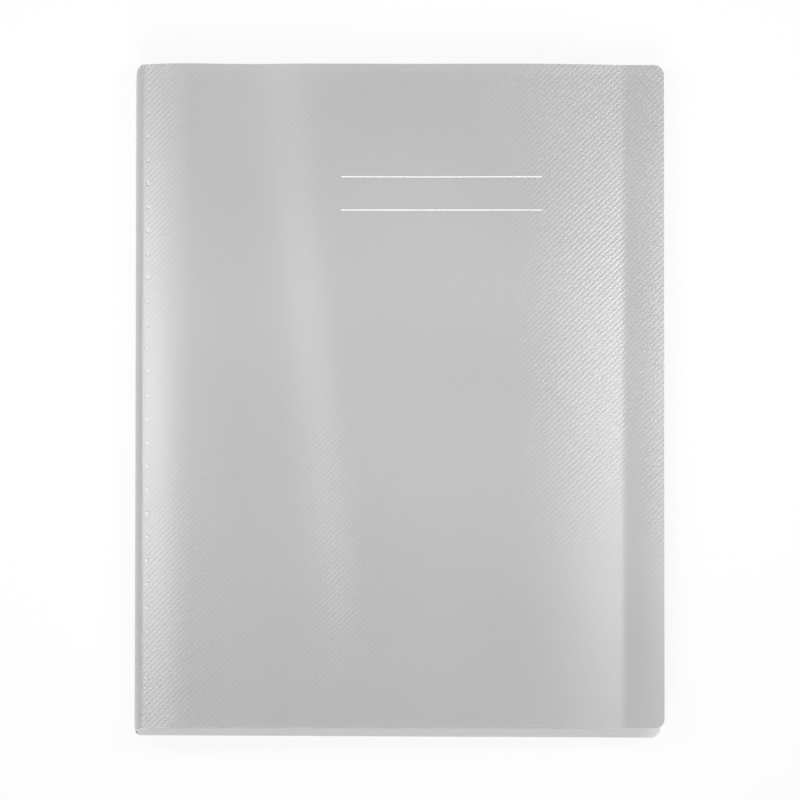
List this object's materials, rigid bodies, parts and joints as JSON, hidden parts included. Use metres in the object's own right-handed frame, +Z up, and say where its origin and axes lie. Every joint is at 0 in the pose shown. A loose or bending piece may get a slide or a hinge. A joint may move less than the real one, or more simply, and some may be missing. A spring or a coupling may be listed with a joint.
{
  "type": "clear pocket display book",
  "caption": "Soft-covered A4 display book in frosted grey plastic, with clear top-loading pockets bound at the spine; both covers and every pocket turn on their creases.",
  "frame": {"origin": "centre of the shut book's bounding box, on the surface that the back cover lies on", "axes": "+X from the spine to the fore edge, +Y up the page to the pockets' open tops, +Z up out of the front cover"},
  "size_m": [0.2426, 0.31, 0.0211],
  "materials": {
    "cover_sheet": "frosted translucent polypropylene sheet with a fine slanting emboss",
    "pocket_film": "clear, slightly hazy polypropylene film",
    "binding_film": "clear film, spot-welded to the covers",
    "fused_edges": "cloudy fused film edges"
  },
  "bodies": {
    "back_cover": {"back_cover": "cover_sheet", "back_weld_flap": "binding_film"},
    "spine": {"spine_panel": "cover_sheet", "back_crease": "cover_sheet", "front_crease": "cover_sheet", "binding_wrap": "binding_film", "binding_block": "fused_edges"},
    "front_cover": {"front_cover": "cover_sheet", "front_weld_flap": "binding_film"},
    "pocket_01": {"pocket_01": "pocket_film"},
    "pocket_02": {"pocket_02": "pocket_film"},
    "pocket_03": {"pocket_03": "pocket_film"},
    "pocket_04": {"pocket_04": "pocket_film"},
    "pocket_05": {"pocket_05": "pocket_film"},
    "pocket_06": {"pocket_06": "pocket_film"},
    "pocket_07": {"pocket_07": "pocket_film"},
    "pocket_08": {"pocket_08": "pocket_film"},
    "pocket_09": {"pocket_09": "pocket_film"},
    "pocket_10": {"pocket_10": "pocket_film"},
    "pocket_11": {"pocket_11": "pocket_film"},
    "pocket_12": {"pocket_12": "pocket_film"},
    "pocket_13": {"pocket_13": "pocket_film"},
    "pocket_14": {"pocket_14": "pocket_film"},
    "pocket_15": {"pocket_15": "pocket_film"},
    "pocket_16": {"pocket_16": "pocket_film"},
    "pocket_17": {"pocket_17": "pocket_film"},
    "pocket_18": {"pocket_18": "pocket_film"},
    "pocket_19": {"pocket_19": "pocket_film"},
    "pocket_20": {"pocket_20": "pocket_film"},
    "pocket_21": {"pocket_21": "pocket_film"},
    "pocket_22": {"pocket_22": "pocket_film"},
    "pocket_23": {"pocket_23": "pocket_film"},
    "pocket_24": {"pocket_24": "pocket_film"},
    "pocket_25": {"pocket_25": "pocket_film"},
    "pocket_26": {"pocket_26": "pocket_film"},
    "pocket_27": {"pocket_27": "pocket_film"},
    "pocket_28": {"pocket_28": "pocket_film"},
    "pocket_29": {"pocket_29": "pocket_film"},
    "pocket_30": {"pocket_30": "pocket_film"},
    "pocket_31": {"pocket_31": "pocket_film"},
    "pocket_32": {"pocket_32": "pocket_film"},
    "pocket_33": {"pocket_33": "pocket_film"},
    "pocket_34": {"pocket_34": "pocket_film"},
    "pocket_35": {"pocket_35": "pocket_film"},
    "pocket_36": {"pocket_36": "pocket_film"},
    "pocket_37": {"pocket_37": "pocket_film"},
    "pocket_38": {"pocket_38": "pocket_film"},
    "pocket_39": {"pocket_39": "pocket_film"},
    "pocket_40": {"pocket_40": "pocket_film"}
  },
  "joints": [
    {"name": "spine_hinge", "type": "hinge", "parent": "back_cover", "child": "spine", "pos_m": [-0.12062, 0, 0.0007], "axis": [0, -1, 0], "range_deg": [0, 87.4]},
    {"name": "front_hinge", "type": "hinge", "parent": "spine", "child": "front_cover", "pos_m": [-0.11792, 0, 0.01748], "axis": [0, -1, 0], "range_deg": [0, 93.8]},
    {"name": "pocket_01_hinge", "type": "hinge", "parent": "spine", "child": "pocket_01", "pos_m": [-0.11746, 0, 0.00149], "axis": [0, -1, 0], "range_deg": [-86.76, 0]},
    {"name": "pocket_02_hinge", "type": "hinge", "parent": "spine", "child": "pocket_02", "pos_m": [-0.11725, 0, 0.00183], "axis": [0, -1, 0], "range_deg": [-85.19, 0]},
    {"name": "pocket_03_hinge", "type": "hinge", "parent": "spine", "child": "pocket_03", "pos_m": [-0.11704, 0, 0.00218], "axis": [0, -1, 0], "range_deg": [-83.61, 0]},
    {"name": "pocket_04_hinge", "type": "hinge", "parent": "spine", "child": "pocket_04", "pos_m": [-0.11684, 0, 0.00252], "axis": [0, -1, 0], "range_deg": [-82.04, 0]},
    {"name": "pocket_05_hinge", "type": "hinge", "parent": "spine", "child": "pocket_05", "pos_m": [-0.11663, 0, 0.00286], "axis": [0, -1, 0], "range_deg": [-80.47, 0]},
    {"name": "pocket_06_hinge", "type": "hinge", "parent": "spine", "child": "pocket_06", "pos_m": [-0.11642, 0, 0.0032], "axis": [0, -1, 0], "range_deg": [-78.9, 0]},
    {"name": "pocket_07_hinge", "type": "hinge", "parent": "spine", "child": "pocket_07", "pos_m": [-0.11622, 0, 0.00354], "axis": [0, -1, 0], "range_deg": [-77.33, 0]},
    {"name": "pocket_08_hinge", "type": "hinge", "parent": "spine", "child": "pocket_08", "pos_m": [-0.11601, 0, 0.00388], "axis": [0, -1, 0], "range_deg": [-75.76, 0]},
    {"name": "pocket_09_hinge", "type": "hinge", "parent": "spine", "child": "pocket_09", "pos_m": [-0.1158, 0, 0.00422], "axis": [0, -1, 0], "range_deg": [-74.19, 0]},
    {"name": "pocket_10_hinge", "type": "hinge", "parent": "spine", "child": "pocket_10", "pos_m": [-0.1156, 0, 0.00457], "axis": [0, -1, 0], "range_deg": [-72.62, 0]},
    {"name": "pocket_11_hinge", "type": "hinge", "parent": "spine", "child": "pocket_11", "pos_m": [-0.11539, 0, 0.00491], "axis": [0, -1, 0], "range_deg": [-71.04, 0]},
    {"name": "pocket_12_hinge", "type": "hinge", "parent": "spine", "child": "pocket_12", "pos_m": [-0.11518, 0, 0.00525], "axis": [0, -1, 0], "range_deg": [-69.47, 0]},
    {"name": "pocket_13_hinge", "type": "hinge", "parent": "spine", "child": "pocket_13", "pos_m": [-0.11498, 0, 0.00559], "axis": [0, -1, 0], "range_deg": [-67.9, 0]},
    {"name": "pocket_14_hinge", "type": "hinge", "parent": "spine", "child": "pocket_14", "pos_m": [-0.11477, 0, 0.00593], "axis": [0, -1, 0], "range_deg": [-66.33, 0]},
    {"name": "pocket_15_hinge", "type": "hinge", "parent": "spine", "child": "pocket_15", "pos_m": [-0.11456, 0, 0.00627], "axis": [0, -1, 0], "range_deg": [-64.76, 0]},
    {"name": "pocket_16_hinge", "type": "hinge", "parent": "spine", "child": "pocket_16", "pos_m": [-0.11436, 0, 0.00661], "axis": [0, -1, 0], "range_deg": [-63.19, 0]},
    {"name": "pocket_17_hinge", "type": "hinge", "parent": "spine", "child": "pocket_17", "pos_m": [-0.11415, 0, 0.00696], "axis": [0, -1, 0], "range_deg": [-61.62, 0]},
    {"name": "pocket_18_hinge", "type": "hinge", "parent": "spine", "child": "pocket_18", "pos_m": [-0.11394, 0, 0.0073], "axis": [0, -1, 0], "range_deg": [-60.05, 0]},
    {"name": "pocket_19_hinge", "type": "hinge", "parent": "spine", "child": "pocket_19", "pos_m": [-0.11373, 0, 0.00764], "axis": [0, -1, 0], "range_deg": [-58.47, 0]},
    {"name": "pocket_20_hinge", "type": "hinge", "parent": "spine", "child": "pocket_20", "pos_m": [-0.11353, 0, 0.00798], "axis": [0, -1, 0], "range_deg": [-56.9, 0]},
    {"name": "pocket_21_hinge", "type": "hinge", "parent": "spine", "child": "pocket_21", "pos_m": [-0.11347, 0, 0.00835], "axis": [0, -1, 0], "range_deg": [0, 53.12]},
    {"name": "pocket_22_hinge", "type": "hinge", "parent": "spine", "child": "pocket_22", "pos_m": [-0.11356, 0, 0.00873], "axis": [0, -1, 0], "range_deg": [0, 54.52]},
    {"name": "pocket_23_hinge", "type": "hinge", "parent": "spine", "child": "pocket_23", "pos_m": [-0.11365, 0, 0.00912], "axis": [0, -1, 0], "range_deg": [0, 55.92]},
    {"name": "pocket_24_hinge", "type": "hinge", "parent": "spine", "child": "pocket_24", "pos_m": [-0.11374, 0, 0.00951], "axis": [0, -1, 0], "range_deg": [0, 57.32]},
    {"name": "pocket_25_hinge", "type": "hinge", "parent": "spine", "child": "pocket_25", "pos_m": [-0.11383, 0, 0.0099], "axis": [0, -1, 0], "range_deg": [0, 58.72]},
    {"name": "pocket_26_hinge", "type": "hinge", "parent": "spine", "child": "pocket_26", "pos_m": [-0.11392, 0, 0.01029], "axis": [0, -1, 0], "range_deg": [0, 60.12]},
    {"name": "pocket_27_hinge", "type": "hinge", "parent": "spine", "child": "pocket_27", "pos_m": [-0.11401, 0, 0.01068], "axis": [0, -1, 0], "range_deg": [0, 61.52]},
    {"name": "pocket_28_hinge", "type": "hinge", "parent": "spine", "child": "pocket_28", "pos_m": [-0.11409, 0, 0.01107], "axis": [0, -1, 0], "range_deg": [0, 62.92]},
    {"name": "pocket_29_hinge", "type": "hinge", "parent": "spine", "child": "pocket_29", "pos_m": [-0.11418, 0, 0.01146], "axis": [0, -1, 0], "range_deg": [0, 64.32]},
    {"name": "pocket_30_hinge", "type": "hinge", "parent": "spine", "child": "pocket_30", "pos_m": [-0.11427, 0, 0.01185], "axis": [0, -1, 0], "range_deg": [0, 65.72]},
    {"name": "pocket_31_hinge", "type": "hinge", "parent": "spine", "child": "pocket_31", "pos_m": [-0.11436, 0, 0.01224], "axis": [0, -1, 0], "range_deg": [0, 67.12]},
    {"name": "pocket_32_hinge", "type": "hinge", "parent": "spine", "child": "pocket_32", "pos_m": [-0.11445, 0, 0.01263], "axis": [0, -1, 0], "range_deg": [0, 68.52]},
    {"name": "pocket_33_hinge", "type": "hinge", "parent": "spine", "child": "pocket_33", "pos_m": [-0.11454, 0, 0.01302], "axis": [0, -1, 0], "range_deg": [0, 69.92]},
    {"name": "pocket_34_hinge", "type": "hinge", "parent": "spine", "child": "pocket_34", "pos_m": [-0.11463, 0, 0.0134], "axis": [0, -1, 0], "range_deg": [0, 71.32]},
    {"name": "pocket_35_hinge", "type": "hinge", "parent": "spine", "child": "pocket_35", "pos_m": [-0.11472, 0, 0.01379], "axis": [0, -1, 0], "range_deg": [0, 72.72]},
    {"name": "pocket_36_hinge", "type": "hinge", "parent": "spine", "child": "pocket_36", "pos_m": [-0.11481, 0, 0.01418], "axis": [0, -1, 0], "range_deg": [0, 74.12]},
    {"name": "pocket_37_hinge", "type": "hinge", "parent": "spine", "child": "pocket_37", "pos_m": [-0.1149, 0, 0.01457], "axis": [0, -1, 0], "range_deg": [0, 75.52]},
    {"name": "pocket_38_hinge", "type": "hinge", "parent": "spine", "child": "pocket_38", "pos_m": [-0.11499, 0, 0.01496], "axis": [0, -1, 0], "range_deg": [0, 76.92]},
    {"name": "pocket_39_hinge", "type": "hinge", "parent": "spine", "child": "pocket_39", "pos_m": [-0.11508, 0, 0.01535], "axis": [0, -1, 0], "range_deg": [0, 78.31]},
    {"name": "pocket_40_hinge", "type": "hinge", "parent": "spine", "child": "pocket_40", "pos_m": [-0.11517, 0, 0.01574], "axis": [0, -1, 0], "range_deg": [0, 79.71]}
  ],
  "couplings": [
    {"joint": "pocket_01_hinge", "follows": "spine_hinge", "ratio": -0.99264},
    {"joint": "pocket_02_hinge", "follows": "spine_hinge", "ratio": -0.97467},
    {"joint": "pocket_03_hinge", "follows": "spine_hinge", "ratio": -0.95669},
    {"joint": "pocket_04_hinge", "follows": "spine_hinge", "ratio": -0.93871},
    {"joint": "pocket_05_hinge", "follows": "spine_hinge", "ratio": -0.92073},
    {"joint": "pocket_06_hinge", "follows": "spine_hinge", "ratio": -0.90276},
    {"joint": "pocket_07_hinge", "follows": "spine_hinge", "ratio": -0.88478},
    {"joint": "pocket_08_hinge", "follows": "spine_hinge", "ratio": -0.8668},
    {"joint": "pocket_09_hinge", "follows": "spine_hinge", "ratio": -0.84882},
    {"joint": "pocket_10_hinge", "follows": "spine_hinge", "ratio": -0.83084},
    {"joint": "pocket_11_hinge", "follows": "spine_hinge", "ratio": -0.81287},
    {"joint": "pocket_12_hinge", "follows": "spine_hinge", "ratio": -0.79489},
    {"joint": "pocket_13_hinge", "follows": "spine_hinge", "ratio": -0.77691},
    {"joint": "pocket_14_hinge", "follows": "spine_hinge", "ratio": -0.75893},
    {"joint": "pocket_15_hinge", "follows": "spine_hinge", "ratio": -0.74096},
    {"joint": "pocket_16_hinge", "follows": "spine_hinge", "ratio": -0.72298},
    {"joint": "pocket_17_hinge", "follows": "spine_hinge", "ratio": -0.705},
    {"joint": "pocket_18_hinge", "follows": "spine_hinge", "ratio": -0.68702},
    {"joint": "pocket_19_hinge", "follows": "spine_hinge", "ratio": -0.66904},
    {"joint": "pocket_20_hinge", "follows": "spine_hinge", "ratio": -0.65107},
    {"joint": "pocket_21_hinge", "follows": "front_hinge", "ratio": 0.56633},
    {"joint": "pocket_22_hinge", "follows": "front_hinge", "ratio": 0.58125},
    {"joint": "pocket_23_hinge", "follows": "front_hinge", "ratio": 0.59617},
    {"joint": "pocket_24_hinge", "follows": "front_hinge", "ratio": 0.61109},
    {"joint": "pocket_25_hinge", "follows": "front_hinge", "ratio": 0.62601},
    {"joint": "pocket_26_hinge", "follows": "front_hinge", "ratio": 0.64093},
    {"joint": "pocket_27_hinge", "follows": "front_hinge", "ratio": 0.65586},
    {"joint": "pocket_28_hinge", "follows": "front_hinge", "ratio": 0.67078},
    {"joint": "pocket_29_hinge", "follows": "front_hinge", "ratio": 0.6857},
    {"joint": "pocket_30_hinge", "follows": "front_hinge", "ratio": 0.70062},
    {"joint": "pocket_31_hinge", "follows": "front_hinge", "ratio": 0.71554},
    {"joint": "pocket_32_hinge", "follows": "front_hinge", "ratio": 0.73046},
    {"joint": "pocket_33_hinge", "follows": "front_hinge", "ratio": 0.74538},
    {"joint": "pocket_34_hinge", "follows": "front_hinge", "ratio": 0.7603},
    {"joint": "pocket_35_hinge", "follows": "front_hinge", "ratio": 0.77523},
    {"joint": "pocket_36_hinge", "follows": "front_hinge", "ratio": 0.79015},
    {"joint": "pocket_37_hinge", "follows": "front_hinge", "ratio": 0.80507},
    {"joint": "pocket_38_hinge", "follows": "front_hinge", "ratio": 0.81999},
    {"joint": "pocket_39_hinge", "follows": "front_hinge", "ratio": 0.83491},
    {"joint": "pocket_40_hinge", "follows": "front_hinge", "ratio": 0.84983}
  ]
}
